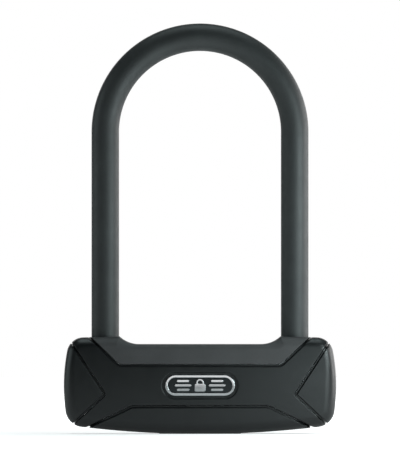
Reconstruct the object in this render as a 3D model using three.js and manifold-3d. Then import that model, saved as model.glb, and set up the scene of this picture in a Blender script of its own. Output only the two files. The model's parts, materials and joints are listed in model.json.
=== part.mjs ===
// Compact bicycle U lock: a coated steel shackle in a crossbar with double bolting.
// Millimetres, +Z up along the legs, the badge faces -Y, the origin is the middle of the flat foot.
import * as THREE from 'three';
import { mergeVertices } from 'three/addons/utils/BufferGeometryUtils.js';
import Module from 'manifold-3d';

const wasm = await Module();
wasm.setup();

// Shackle
const LEG_X = 48.55;              // leg axis from the middle plane
const BEND_Z = 154.3;             // height of the bend's centre
const BAR_R = 6.0;                // 12 mm hardened bar
const SLEEVE_R = 7.05;            // outside of the soft coat
const SLEEVE_BORE_R = 6.1;
const SLEEVE_END_Z = 43.5;        // the coat ends inside the collar
const FOOT_Z = 13.0;              // lower tip of the steel feet
const FOOT_CHAMFER = 1.4;
const NOTCH = { x: 47.6, z0: 28.6, z1: 37.2 };   // bolt notch on the inner side of each foot
const BAR_SIDES = 18;
const BEND_STEPS = 26;

// Outside of the crossbar, drawn in the XZ plane
const FOOT_HALF = 11.0;           // half width of the flat foot
const BASE_R = 506.0;             // very flat arc of the base
const SIDE = { x: -27.4, z: 24.4, r: 97.0 };     // bulge of each end
const LOW_CORNER_R = 9.4;
const TOP_CORNER_R = 8.5;
const SHOULDER = { x0: 41.2, z0: 49.7, slope: -0.0266 };
const FILLET = { x: 31.2, z: 60.2, r: 14.5 };    // concave sweep from the shoulder to the saddle
const CROWN = { x: 154.0, y: 18.25, z: 67.5, zMid: 24.0 };  // semi-axes of the crowned faces
const EDGE_IN = 5.0;              // edge rounding, measured inwards from the outline
const EDGE_DEEP = 6.5;            // and in depth
const SADDLE_EDGE = 2.0;          // tighter rounding between the legs
const SADDLE_HALF = 39.0;

// Grooves that divide the covers
const GROOVE_W = 1.1;
const GROOVE_DEEP = 1.3;
const PARTING = 0.3;
const TOP_GROOVE = [[41.5, 35.0], [60.0, 52.6]];
const LOW_GROOVE = [[34.7, 14.0], [66.0, -0.87]];
const CAP_GROOVE = [[70.0, 52.8], [49.0, 20.2], [70.0, 0.21]];
const FAR = 90.0;

// Steel case
const CASE_X = 58.0;
const CASE_Y = 13.8;
const CASE_Z0 = 7.5;
const CASE_Z1 = 37.5;
const CASE_WALL = 1.8;
const LID_Z0 = 37.7;
const LID_Z1 = 41.5;
const REST_GAP = 0.2;             // gap between pieces that rest on one another
const FOOT_BORE_R = 6.3;
const LUG = { w: 5.0, h: 3.0, deep: 1.6, gap: 0.25 };
const CAP_LUG_Z = 20.0;
const CAP_HOLLOW = { x: 66.0, y: 11.0, z0: 13.0, z1: 39.0 };
const SIDE_LUGS = [[-45, 31], [-16, 29], [16, 29], [45, 31], [-30, 17.5], [30, 17.5]];

// Cylinder and bolts, on the axis x = 0, y = 0
const HOUSING = { noseR: 9.2, r: 10.25, z0: 3.1, shoulderZ: 9.5, z1: 24.0, bore: 7.0, lip: 6.2, lipZ: 3.5 };
const PLUG = { r: 6.8, z0: 3.7, z1: 25.2, bore: 5.75, plateZ: 5.3, floorZ: 23.4, tang: 1.8, tangZ: 27.3 };
const DISC = { r: 5.6, thick: 1.5, pitch: 2.2, z0: 5.45, count: 8, sides: 16 };
const SPACER = { thick: 0.5, holeR: 4.2 };
const KEYWAY = { x: 1.4, y: 4.1 };
const SIDEBAR = { r: 0.85, at: 5.85, angle: Math.PI / 4, z0: 5.6, z1: 23.2 };
const CAM = { r: 11.7, z0: 26.0, z1: 28.6, socketZ: 27.5, slotHalf: 1.45 };
const THROW = 5.0;                // bolt travel for a quarter turn
const PIN = { r: 1.3, start: 4.3, z0: 26.2 };
const BOLT = { x0: 1.5, x1: 41.9, y: 4.5, z0: 29.2, z1: 36.8 };
const BOLT_PLAY = 0.2;
const BLOCK_X = 39.0;
const BLOCK_Y = 11.8;
const BLOCK_Z0 = CASE_Z0 + CASE_WALL + 0.1;
const BLOCK_Z1 = LID_Z0 - 0.1;
const BLOCK_FLOOR_Z = 26.5;         // the block is hollow on both sides of the cylinder up to here
const FOOT_BLOCK = { x0: 39.3, x1: 56.0 };

// Keyhole frame and shutter under the base
const FRAME = { x: 21.0, y: 9.6, z1: 1.4, corner: 3.0 };
const WINDOW = { x0: -6.6, x1: 17.4, y: 4.6 };
const SHUTTER = { x: 8.6, y: 8.0, z0: 1.65, z1: 2.85 };
const SHUTTER_TRAVEL = 11.0;
const TRACK_Z = 3.05;
const SPRING = { x0: -5.4, x1: 20.2, y: 6.9, z: 2.25, r: 0.55, wire: 0.14, turns: 11, sides: 4 };

const BADGE = { z: 24.8, w: 35.75, h: 10.8, rim: 1.3, floorY: 16.9, topY: 18.1, plateY: 17.35 };
const BADGE_POCKET = { w: 38.7, h: 13.6 };

const MATERIALS = {
  sleeve: { color: 0x393d3d, roughness: 0.62, metalness: 0 },
  cover: { color: 0x141617, roughness: 0.38, metalness: 0 },
  saddle: { color: 0x3a3c3d, roughness: 0.7, metalness: 0 },
  steel: { color: 0xa9abad, roughness: 0.35, metalness: 1 },
  hardened: { color: 0x6c6e70, roughness: 0.4, metalness: 1 },
  cast: { color: 0x8d9092, roughness: 0.5, metalness: 1 },
  brass: { color: 0xb99a55, roughness: 0.35, metalness: 1 },
  chrome: { color: 0xd8dadc, roughness: 0.12, metalness: 1 },
  rubber: { color: 0x17181a, roughness: 0.85, metalness: 0 },
  badge: { color: 0x2a2c2e, roughness: 0.3, metalness: 0.6 },
};

// --- solids ------------------------------------------------------------------------------------

function solid(geometry) {
  const bare = geometry.index ? geometry.toNonIndexed() : geometry.clone();
  bare.deleteAttribute('normal');
  bare.deleteAttribute('uv');
  const merged = mergeVertices(bare, 1e-4);
  const mesh = new wasm.Mesh({
    numProp: 3,
    vertProperties: new Float32Array(merged.attributes.position.array),
    triVerts: new Uint32Array(merged.index.array),
  });
  mesh.merge();
  return new wasm.Manifold(mesh);
}

function geometryOf(body) {
  const mesh = body.getMesh();
  const geometry = new THREE.BufferGeometry();
  geometry.setAttribute('position', new THREE.BufferAttribute(mesh.vertProperties, 3));
  geometry.setIndex(new THREE.BufferAttribute(mesh.triVerts, 1));
  geometry.computeVertexNormals();
  return geometry;
}

function joined(first, ...others) {
  return others.reduce((body, other) => body.add(other), first);
}

function cut(first, ...others) {
  return others.reduce((body, other) => body.subtract(other), first);
}

function block(x0, x1, y0, y1, z0, z1) {
  const box = new THREE.BoxGeometry(x1 - x0, y1 - y0, z1 - z0);
  return solid(box.translate((x0 + x1) / 2, (y0 + y1) / 2, (z0 + z1) / 2));
}

// A solid of revolution about Z. The profile is a list of [radius, z], anticlockwise in that plane.
function turned(profile, sides = 24) {
  const points = profile.map(([r, z]) => new THREE.Vector2(r, z));
  return solid(new THREE.LatheGeometry(points, sides).rotateX(Math.PI / 2));
}

function rod(r, z0, z1, sides = 24) {
  return turned([[0, z0], [r, z0], [r, z1], [0, z1]], sides);
}

function ring(rIn, rOut, z0, z1, sides = 24) {
  return turned([[rIn, z0], [rOut, z0], [rOut, z1], [rIn, z1], [rIn, z0]], sides);
}

function shapeOf(points) {
  return new THREE.Shape(points.map(([x, y]) => new THREE.Vector2(x, y)));
}

// A shape drawn in XY, extruded from z0 to z1.
function prismZ(shape, z0, z1, curveSegments = 6) {
  const body = new THREE.ExtrudeGeometry(shape, { depth: z1 - z0, bevelEnabled: false, curveSegments });
  return solid(body.translate(0, 0, z0));
}

// A shape drawn in XZ, extruded from y0 to y1.
function prismY(shape, y0, y1, curveSegments = 6) {
  const body = new THREE.ExtrudeGeometry(shape, { depth: y1 - y0, bevelEnabled: false, curveSegments });
  return solid(body.rotateX(Math.PI / 2).translate(0, y1, 0));
}

// A rectangle with round corners about (cx, cy); with the corner at half its height it is a pill.
function roundedRect(cx, cy, w, h, r) {
  const shape = new THREE.Shape();
  const [x, y] = [w / 2 - r, h / 2 - r];
  shape.absarc(cx + x, cy + y, r, 0, Math.PI / 2);
  shape.absarc(cx - x, cy + y, r, Math.PI / 2, Math.PI);
  shape.absarc(cx - x, cy - y, r, Math.PI, Math.PI * 1.5);
  shape.absarc(cx + x, cy - y, r, Math.PI * 1.5, Math.PI * 2);
  return shape;
}

// --- outline and panels of the crossbar --------------------------------------------------------

function arcPoints(cx, cz, r, from, to, count) {
  const points = [];
  for (let i = 0; i <= count; i += 1) {
    const a = from + ((to - from) * i) / count;
    points.push([cx + r * Math.cos(a), cz + r * Math.sin(a)]);
  }
  return points;
}

// The centre at distance d1 from c1 and d2 from c2, on the side of larger x.
function centreBetween(c1, d1, c2, d2) {
  const dx = c2.x - c1.x;
  const dz = c2.z - c1.z;
  const gap = Math.hypot(dx, dz);
  const along = (d1 * d1 - d2 * d2 + gap * gap) / (2 * gap);
  const off = Math.sqrt(d1 * d1 - along * along);
  const sides = [1, -1].map((s) => ({
    x: c1.x + (along * dx - s * off * dz) / gap,
    z: c1.z + (along * dz + s * off * dx) / gap,
  }));
  return sides[0].x > sides[1].x ? sides[0] : sides[1];
}

function angleFrom(a, b) {
  return Math.atan2(b.z - a.z, b.x - a.x);
}

// Where the top corner's centre lies: inside the end bulge, under the sloping shoulder.
function topCornerCentre() {
  const down = TOP_CORNER_R * Math.hypot(1, SHOULDER.slope);
  let x = 60;
  for (let i = 0; i < 20; i += 1) {
    const z = SHOULDER.z0 + SHOULDER.slope * (x - SHOULDER.x0) - down;
    x = SIDE.x + Math.sqrt((SIDE.r - TOP_CORNER_R) ** 2 - (z - SIDE.z) ** 2);
  }
  return { x, z: SHOULDER.z0 + SHOULDER.slope * (x - SHOULDER.x0) - down };
}

function halfOutline() {
  const base = { x: 0, z: Math.sqrt(BASE_R ** 2 - FOOT_HALF ** 2) };
  const low = centreBetween(base, BASE_R - LOW_CORNER_R, SIDE, SIDE.r - LOW_CORNER_R);
  const top = topCornerCentre();
  const foot = Math.atan2(-base.z, FOOT_HALF);
  const lowStart = angleFrom(base, low);
  const lowEnd = angleFrom(SIDE, low);
  const topStart = angleFrom(SIDE, top);
  const topEnd = Math.PI / 2 + Math.atan(SHOULDER.slope);
  const sweep = Math.atan2(SHOULDER.z0 - FILLET.z, SHOULDER.x0 - FILLET.x);
  return [
    ...arcPoints(base.x, base.z, BASE_R, foot, lowStart, 5),
    ...arcPoints(low.x, low.z, LOW_CORNER_R, lowStart, lowEnd, 6).slice(1),
    ...arcPoints(SIDE.x, SIDE.z, SIDE.r, lowEnd, topStart, 5).slice(1),
    ...arcPoints(top.x, top.z, TOP_CORNER_R, topStart, topEnd, 6).slice(1),
    ...arcPoints(FILLET.x, FILLET.z, FILLET.r, sweep, -Math.PI / 2, 5),
  ];
}

function mirrored(points) {
  return points.map(([x, z]) => [-x, z]).reverse();
}

// The crossbar's outside, drawn in by an inset, with its edges rounded and its faces crowned.
function envelope(inset) {
  const half = halfOutline();
  const outline = shapeOf([...half, ...mirrored(half)]);
  const rounded = (size, deep, y) => {
    const body = new THREE.ExtrudeGeometry(outline, {
      depth: 2 * (y - deep),
      bevelThickness: deep,
      bevelSize: size,
      bevelOffset: -size - inset,
      bevelSegments: 4,
    });
    return solid(body.rotateX(Math.PI / 2).translate(0, y - deep, 0));
  };
  const crownY = CROWN.y - inset;
  const soft = rounded(EDGE_IN, EDGE_DEEP, crownY);
  const crisp = rounded(SADDLE_EDGE, SADDLE_EDGE, crownY - 0.7);
  const saddleZone = block(-SADDLE_HALF, SADDLE_HALF, -FAR, FAR, 30, 60);
  const ball = new THREE.SphereGeometry(1, 40, 24).rotateX(Math.PI / 2);
  ball.scale(CROWN.x, crownY, CROWN.z).translate(0, 0, CROWN.zMid);
  return joined(soft, crisp.intersect(saddleZone)).intersect(solid(ball));
}

// Moves an open line sideways by d, to the left of its direction, with mitred corners.
function shifted(line, d) {
  const normal = ([x0, z0], [x1, z1]) => {
    const length = Math.hypot(x1 - x0, z1 - z0);
    return [-(z1 - z0) / length, (x1 - x0) / length];
  };
  return line.map(([x, z], i) => {
    const before = normal(line[Math.max(i - 1, 0)], line[Math.max(i, 1)]);
    const last = line.length - 1;
    const after = normal(line[Math.min(i, last - 1)], line[Math.min(i + 1, last)]);
    const scale = d / (1 + before[0] * after[0] + before[1] * after[1]);
    return [x + (before[0] + after[0]) * scale, z + (before[1] + after[1]) * scale];
  });
}

// Rounds the inner corners of an open line.
function softened(line, r, count = 3) {
  const points = [line[0]];
  for (let i = 1; i < line.length - 1; i += 1) {
    const here = new THREE.Vector2(...line[i]);
    const back = new THREE.Vector2(...line[i - 1]).sub(here).normalize();
    const on = new THREE.Vector2(...line[i + 1]).sub(here).normalize();
    const half = Math.acos(back.dot(on)) / 2;
    const reach = r / Math.tan(half);
    const start = here.clone().addScaledVector(back, reach);
    const end = here.clone().addScaledVector(on, reach);
    const bend = new THREE.QuadraticBezierCurve(start, here, end);
    bend.getPoints(count).forEach((p) => points.push([p.x, p.y]));
  }
  points.push(line[line.length - 1]);
  return points;
}

const topLine = softened([...mirrored(TOP_GROOVE), ...TOP_GROOVE], 4.0);
const lowLine = softened([...mirrored(LOW_GROOVE), ...LOW_GROOVE], 4.0);
const capLine = softened(CAP_GROOVE, 2.5);

// The six panels as closed outlines in XZ, each kept half a gap away from the groove lines.
function panels(gap) {
  const g = gap / 2;
  return {
    saddle: [...shifted(topLine, g), [FAR, FAR], [-FAR, FAR]],
    base: [...shifted(lowLine, -g), [FAR, -FAR], [-FAR, -FAR]],
    capRight: [...shifted(capLine, g), [FAR, -FAR], [FAR, FAR]],
    cross: [
      ...shifted(lowLine, g),
      ...shifted(capLine, -g).reverse(),
      ...shifted(topLine, -g).reverse(),
      ...mirrored(shifted(capLine, -g).reverse()),
    ],
  };
}

const OUTER = envelope(0);
const INNER = envelope(GROOVE_DEEP);
const WIDE = panels(GROOVE_W);
const CLOSE = panels(PARTING);

// A cover runs to the wide groove at the surface and to the fine parting line under it.
function coverBlank(name) {
  const face = OUTER.intersect(prismY(shapeOf(WIDE[name]), -30, 30));
  const under = INNER.intersect(prismY(shapeOf(CLOSE[name]), -30, 30));
  const room = block(
    -CASE_X - REST_GAP, CASE_X + REST_GAP, -CASE_Y - REST_GAP, CASE_Y + REST_GAP,
    CASE_Z0 - REST_GAP, LID_Z1 + REST_GAP,
  );
  return cut(joined(face, under), room);
}

function atBothLegs(body) {
  return joined(body.translate([LEG_X, 0, 0]), body.translate([-LEG_X, 0, 0]));
}

// --- covers ------------------------------------------------------------------------------------

const COLLAR = { wide: 9.2, narrow: 8.2, stepZ: 47.6, bore: 7.35, gap: 0.25 };
const SEAL = { rIn: 7.25, rOut: 8.5, z0: 44.4, z1: 46.6, gap: 0.1 };

function collar(extra) {
  const wide = rod(COLLAR.wide + extra, LID_Z1 + REST_GAP - extra, COLLAR.stepZ + extra);
  const narrow = rod(COLLAR.narrow + extra, COLLAR.stepZ, 60);
  return atBothLegs(joined(wide, narrow));
}

// Locating lugs on the inside of a face cover, and the windows they sit in.
function sideLugs(grow) {
  const lugs = SIDE_LUGS.map(([x, z]) => block(
    x - LUG.w / 2 - grow, x + LUG.w / 2 + grow,
    -CASE_Y - REST_GAP - 0.5, -CASE_Y + LUG.deep + grow,
    z - LUG.h / 2 - grow, z + LUG.h / 2 + grow,
  ));
  return joined(...lugs);
}

function faceCover(front) {
  const half = block(-FAR, FAR, -30, -PARTING / 2, -10, 60);
  let cover = coverBlank('cross').intersect(half);
  cover = cut(cover, collar(COLLAR.gap));
  cover = joined(cover, sideLugs(0));
  if (front) {
    const { w, h } = BADGE_POCKET;
    cover = cut(cover, prismY(roundedRect(0, BADGE.z, w, h, h / 2), -30, -BADGE.floorY, 6));
    return cover;
  }
  return cover.rotate([0, 0, 180]);
}

function saddleCover() {
  const blank = joined(coverBlank('saddle'), collar(0).intersect(OUTER));
  const bore = atBothLegs(rod(COLLAR.bore, 40, 60, BAR_SIDES));
  const sealRoom = atBothLegs(rod(SEAL.rOut + SEAL.gap, SEAL.z0 - SEAL.gap, SEAL.z1 + SEAL.gap));
  const lidRoom = block(
    -CASE_X - REST_GAP, CASE_X + REST_GAP, -CASE_Y - REST_GAP, CASE_Y + REST_GAP, 30, LID_Z1 + REST_GAP,
  );
  return cut(blank, bore, sealRoom, lidRoom);
}

// The flat track over the frame in which the shutter slides and its spring lies.
function trackRoom() {
  const play = 0.25;
  const xEnd = Math.max(SHUTTER.x + SHUTTER_TRAVEL, SPRING.x1) + play;
  return block(-SHUTTER.x - play, xEnd, -SHUTTER.y - play, SHUTTER.y + play, 1, TRACK_Z);
}

function baseCover() {
  const frameRoom = prismZ(
    roundedRect(0, 0, 2 * FRAME.x + 0.4, 2 * FRAME.y + 0.4, FRAME.corner + 0.2), -1, FRAME.z1 + 0.1, 3,
  );
  const nose = rod(HOUSING.noseR + 0.3, 1, 12);
  const pocket = (side) => block(side - 14, side + 14, -11, 11, 5.0, CASE_Z0);
  return cut(coverBlank('base'), frameRoom, trackRoom(), nose, pocket(38), pocket(-38));
}

// A hollow cap with a post whose tip sits in a window of the case's end wall.
function endCap() {
  const { w, h, deep } = LUG;
  const hollow = block(CASE_X, CAP_HOLLOW.x, -CAP_HOLLOW.y, CAP_HOLLOW.y, CAP_HOLLOW.z0, CAP_HOLLOW.z1);
  const tip = block(CASE_X - deep, CASE_X + 1, -w / 2, w / 2, CAP_LUG_Z, CAP_LUG_Z + h);
  const foot = block(
    CASE_X + REST_GAP, CAP_HOLLOW.x + 1, -w / 2 - 1, w / 2 + 1, CAP_LUG_Z - 1, CAP_LUG_Z + h + 1,
  );
  return joined(cut(coverBlank('capRight'), hollow), foot, tip);
}

// --- badge -------------------------------------------------------------------------------------

function badgeRing() {
  const { w, h, rim, z, floorY, topY } = BADGE;
  const outer = prismY(roundedRect(0, z, w, h, h / 2), -topY, -floorY - 0.05, 5);
  const hole = roundedRect(0, z, w - 2 * rim, h - 2 * rim, h / 2 - rim);
  return cut(outer, prismY(hole, -30, 0, 5));
}

// A plain plate with a padlock sign between two pairs of bars.
function badgePlate() {
  const { w, h, rim, z, floorY, plateY, topY } = BADGE;
  const [pw, ph] = [w - 2 * rim - 0.2, h - 2 * rim - 0.2];
  const plate = prismY(roundedRect(0, z, pw, ph, ph / 2), -plateY, -floorY - 0.05, 5);
  const relief = (shape) => prismY(shape, -topY + 0.35, -plateY + 0.1, 2);
  const lockBody = relief(roundedRect(0, z - 1.1, 4.6, 3.2, 0.5));
  const arch = cut(
    relief(roundedRect(0, z + 0.9, 3.4, 3.4, 1.6)),
    prismY(roundedRect(0, z + 0.9, 1.8, 1.8, 0.85), -30, -plateY - 0.02, 2),
  );
  const bars = [-8.6, 8.6].flatMap((x) => [1.15, -1.15].map((dz) => (
    relief(roundedRect(x, z + dz, 7.2, 0.9, 0.4))
  )));
  return joined(plate, lockBody, arch, ...bars);
}

// --- shackle -----------------------------------------------------------------------------------

// A U: one straight step, the bend in even steps, one straight step.
class BentBar extends THREE.Curve {
  constructor(lowZ) {
    super();
    this.lowZ = lowZ;
    this.steps = BEND_STEPS + 2;
  }

  getUtoTmapping(u) {
    return u;
  }

  getPoint(t, target = new THREE.Vector3()) {
    const s = t * this.steps;
    const drop = (part) => this.lowZ + (BEND_Z - this.lowZ) * part;
    if (s < 1) return target.set(-LEG_X, 0, drop(s));
    if (s > this.steps - 1) return target.set(LEG_X, 0, drop(this.steps - s));
    const a = Math.PI * (1 - (s - 1) / BEND_STEPS);
    return target.set(LEG_X * Math.cos(a), 0, BEND_Z + LEG_X * Math.sin(a));
  }
}

function disc(r, sides = BAR_SIDES) {
  return shapeOf(arcPoints(0, 0, r, 0, (2 * Math.PI * (sides - 1)) / sides, sides - 1));
}

function bent(shape, lowZ) {
  const path = new BentBar(lowZ);
  return solid(new THREE.ExtrudeGeometry(shape, { steps: path.steps, extrudePath: path }));
}

function shackleBar() {
  const chamfer = turned([
    [BAR_R - FOOT_CHAMFER, FOOT_Z], [BAR_R - FOOT_CHAMFER, FOOT_Z - 1],
    [BAR_R + 1, FOOT_Z - 1], [BAR_R + 1, FOOT_Z + FOOT_CHAMFER + 1], [BAR_R - FOOT_CHAMFER, FOOT_Z],
  ], BAR_SIDES);
  const notches = block(-NOTCH.x, NOTCH.x, -10, 10, NOTCH.z0, NOTCH.z1);
  return cut(bent(disc(BAR_R), FOOT_Z), atBothLegs(chamfer), notches);
}

function shackleSleeve() {
  const section = disc(SLEEVE_R);
  section.holes.push(disc(SLEEVE_BORE_R));
  return bent(section, SLEEVE_END_Z);
}

// --- steel case --------------------------------------------------------------------------------

function lockCase() {
  const outer = block(-CASE_X, CASE_X, -CASE_Y, CASE_Y, CASE_Z0, CASE_Z1);
  const wall = CASE_WALL;
  const inner = block(-CASE_X + wall, CASE_X - wall, -CASE_Y + wall, CASE_Y - wall, CASE_Z0 + wall, 60);
  const windows = sideLugs(LUG.gap);
  const capWindows = block(
    -FAR, FAR, -LUG.w / 2 - LUG.gap, LUG.w / 2 + LUG.gap, CAP_LUG_Z - LUG.gap, CAP_LUG_Z + LUG.h + LUG.gap,
  );
  const noseHole = rod(HOUSING.noseR + 0.2, 0, 12);
  return cut(outer, inner, noseHole, windows, windows.rotate([0, 0, 180]), capWindows);
}

const SCREW = { x: 34.0, y: 8.2, r: 1.5, headR: 2.9, headZ: 39.9, tipZ: 29.0 };

function screwHole() {
  return turned([
    [0, SCREW.tipZ - 0.5], [SCREW.r + 0.12, SCREW.tipZ - 0.5], [SCREW.r + 0.12, SCREW.headZ],
    [SCREW.headR + 0.15, LID_Z1 - 0.1], [SCREW.headR + 0.15, LID_Z1 + 1], [0, LID_Z1 + 1],
  ], 12);
}

function screwHoles() {
  const spots = [-1, 1].flatMap((sx) => [-1, 1].map((sy) => [sx * SCREW.x, sy * SCREW.y, 0]));
  return joined(...spots.map((at) => screwHole().translate(at)));
}

function lidScrew() {
  const body = turned([
    [0, SCREW.tipZ], [SCREW.r - 0.4, SCREW.tipZ], [SCREW.r, SCREW.tipZ + 0.4],
    [SCREW.r, SCREW.headZ + 0.05],
    [SCREW.headR, LID_Z1 - 0.25], [SCREW.headR, LID_Z1 - 0.05], [0, LID_Z1 - 0.05],
  ], 12);
  const socket = new THREE.CylinderGeometry(1.25, 1.25, 1.4, 6).rotateX(Math.PI / 2);
  return cut(body, solid(socket.translate(0, 0, LID_Z1 - 0.6)));
}

function caseLid() {
  const plate = block(-CASE_X, CASE_X, -CASE_Y, CASE_Y, LID_Z0, LID_Z1);
  return cut(plate, atBothLegs(rod(FOOT_BORE_R, 30, 50, BAR_SIDES)), screwHoles());
}

function boltRoom() {
  const { y, z0, z1 } = BOLT;
  return block(-FAR, FAR, -y - BOLT_PLAY, y + BOLT_PLAY, z0 - BOLT_PLAY, z1 + BOLT_PLAY);
}

// The right-hand socket for a foot, with the bolt's window in its inner wall.
function footBlock() {
  const body = block(FOOT_BLOCK.x0, FOOT_BLOCK.x1, -BLOCK_Y, BLOCK_Y, BLOCK_Z0, BLOCK_Z1);
  const bore = rod(FOOT_BORE_R, FOOT_Z - 0.4, 50, BAR_SIDES).translate([LEG_X, 0, 0]);
  const window = boltRoom().intersect(block(FOOT_BLOCK.x0 - 1, LEG_X, -20, 20, 0, 60));
  return cut(body, bore, window);
}

function housingPinAxis(r, half) {
  return rod(r, -half, half, 12).rotate([90, 0, 0]).translate([HOUSING.r + 0.35, 0, 17]);
}

function cylinderBlock() {
  const body = block(-BLOCK_X, BLOCK_X, -BLOCK_Y, BLOCK_Y, BLOCK_Z0, BLOCK_Z1);
  const housingRoom = rod(HOUSING.r + 0.12, 0, HOUSING.z1 + 0.2);
  const clipRoom = rod(CIRCLIP.rOut + 0.3, HOUSING.z1, CAM.z0);
  const camRoom = rod(CAM.r + 0.3, CAM.z0 - 0.4, BOLT.z0);
  const pocket = (x0, x1) => block(x0, x1, -BLOCK_Y + 1.8, BLOCK_Y - 1.8, 0, BLOCK_FLOOR_Z);
  return cut(
    body, housingRoom, clipRoom, camRoom, boltRoom(), screwHoles(), housingPinAxis(1.6, 11.3),
    pocket(14.5, BLOCK_X - 1.8), pocket(-BLOCK_X + 1.8, -14.5),
  );
}

// --- cylinder ----------------------------------------------------------------------------------

const CIRCLIP = { rIn: 6.35, rOut: 7.9, z0: 24.25, z1: 24.85 };

function cylinderHousing() {
  const h = HOUSING;
  const body = turned([
    [h.lip, h.z0], [h.noseR, h.z0], [h.noseR, h.shoulderZ], [h.r, h.shoulderZ], [h.r, h.z1],
    [h.bore, h.z1], [h.bore, h.lipZ], [h.lip, h.lipZ], [h.lip, h.z0],
  ]);
  const groove = rod(1.1, SIDEBAR.z0 - 0.4, h.z1 + 1, 10).translate(sidebarAt(7.0));
  return cut(body, groove, housingPinAxis(1.6, 20));
}

function sidebarAt(radius) {
  return [radius * Math.cos(SIDEBAR.angle), radius * Math.sin(SIDEBAR.angle), 0];
}

function keySlot(z0, z1) {
  return block(-KEYWAY.x, KEYWAY.x, -KEYWAY.y, KEYWAY.y, z0, z1);
}

function plugSleeve() {
  const p = PLUG;
  const tube = turned([
    [0, p.floorZ], [p.bore, p.floorZ], [p.bore, p.z0], [p.r, p.z0],
    [p.r, CIRCLIP.z0 - 0.08], [CIRCLIP.rIn - 0.12, CIRCLIP.z0 - 0.08],
    [CIRCLIP.rIn - 0.12, CIRCLIP.z1 + 0.08], [p.r, CIRCLIP.z1 + 0.08],
    [p.r, p.z1], [0, p.z1],
  ]);
  const tang = block(-p.tang, p.tang, -p.tang, p.tang, p.z1 - 0.5, p.tangZ);
  const screwRoom = rod(1.0, p.z1, p.tangZ + 1, 12);
  const slot = rod(SIDEBAR.r + 0.15, SIDEBAR.z0 - 0.1, SIDEBAR.z1 + 0.1, 10)
    .translate(sidebarAt(SIDEBAR.at + 0.2));
  const outward = rod(SIDEBAR.r + 0.15, SIDEBAR.z0 - 0.1, SIDEBAR.z1 + 0.1, 10)
    .translate(sidebarAt(PLUG.r + 0.3));
  return cut(joined(tube, tang), screwRoom, slot, outward);
}

function keyholePlate() {
  return cut(rod(PLUG.bore - 0.1, PLUG.z0 + 0.1, PLUG.plateZ), keySlot(0, 10));
}

function detainerDisc(index) {
  const z = DISC.z0 + index * DISC.pitch;
  const gate = rod(SIDEBAR.r + 0.15, 0, 40, 8).translate(sidebarAt(SIDEBAR.at));
  return cut(rod(DISC.r, z, z + DISC.thick, DISC.sides), keySlot(0, 40), gate);
}

function discSpacer(index) {
  const z = DISC.z0 + index * DISC.pitch + DISC.thick + 0.1;
  const gate = rod(SIDEBAR.r + 0.15, 0, 40, 8).translate(sidebarAt(SIDEBAR.at));
  return cut(rod(DISC.r, z, z + SPACER.thick, DISC.sides), rod(SPACER.holeR, 0, 40, 12), gate);
}

function sidebar() {
  return rod(SIDEBAR.r, SIDEBAR.z0, SIDEBAR.z1, 10).translate(sidebarAt(SIDEBAR.at));
}

function circlip() {
  const { rIn, rOut, z0, z1 } = CIRCLIP;
  const gap = block(-1.6, 1.6, 0, 20, 0, 60);
  return cut(ring(rIn, rOut, z0, z1), gap);
}

// One spiral slot: its middle line runs out by the throw over a quarter turn.
function spiralSlot() {
  const turn = Math.PI / 2;
  const steps = 10;
  const left = [];
  const right = [];
  for (let i = 0; i <= steps; i += 1) {
    const a = (turn * i) / steps;
    const r = PIN.start + (THROW * i) / steps;
    const grow = THROW / turn;
    const length = Math.hypot(r, grow);
    const [x, y] = [r * Math.cos(a), -r * Math.sin(a)];
    // Direction of travel along the spiral: outwards and clockwise.
    const tx = (grow * Math.cos(a) - r * Math.sin(a)) / length;
    const ty = (-grow * Math.sin(a) - r * Math.cos(a)) / length;
    const w = CAM.slotHalf;
    left.push([x - ty * w, y + tx * w]);
    right.push([x + ty * w, y - tx * w]);
  }
  const strip = prismZ(shapeOf([...left, ...right.reverse()]), CAM.z0 - 1, CAM.z1 + 1);
  const end = (r, a) => rod(CAM.slotHalf, CAM.z0 - 1, CAM.z1 + 1, 12)
    .translate([r * Math.cos(a), -r * Math.sin(a), 0]);
  return joined(strip, end(PIN.start, 0), end(PIN.start + THROW, turn));
}

function boltCam() {
  const body = rod(CAM.r, CAM.z0, CAM.z1, 32);
  const t = PLUG.tang + 0.1;
  const socket = block(-t, t, -t, t, 0, CAM.socketZ);
  const countersink = turned([
    [0, CAM.socketZ - 1], [1.1, CAM.socketZ - 1], [1.1, CAM.z1 - 0.9],
    [2.1, CAM.z1 + 0.1], [0, CAM.z1 + 0.1],
  ], 16);
  return cut(body, socket, countersink, spiralSlot(), spiralSlot().rotate([0, 0, 180]));
}

function camScrew() {
  return turned([
    [0, PLUG.z1 + 0.4], [0.85, PLUG.z1 + 0.4], [0.85, CAM.z1 - 0.8],
    [1.75, CAM.z1 - 0.05], [0, CAM.z1 - 0.05],
  ], 16);
}

// The right-hand bolt, with its drive pin reaching down into the cam.
function bolt() {
  const { x0, x1, y, z0, z1 } = BOLT;
  const c = 0.8;
  const plan = shapeOf([[x0, -y], [x1 - c, -y], [x1, -y + c], [x1, y - c], [x1 - c, y], [x0, y]]);
  const pin = rod(PIN.r, PIN.z0, z0 + 1, 16).translate([PIN.start, 0, 0]);
  return joined(prismZ(plan, z0, z1), pin);
}

// --- keyhole frame, shutter and its spring -----------------------------------------------------

function keyholeFrame() {
  const plate = prismZ(roundedRect(0, 0, 2 * FRAME.x, 2 * FRAME.y, FRAME.corner), 0, FRAME.z1, 3);
  const { x0, x1, y } = WINDOW;
  return cut(plate, prismZ(roundedRect((x0 + x1) / 2, 0, x1 - x0, 2 * y, y), -1, 5, 5));
}

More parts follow.
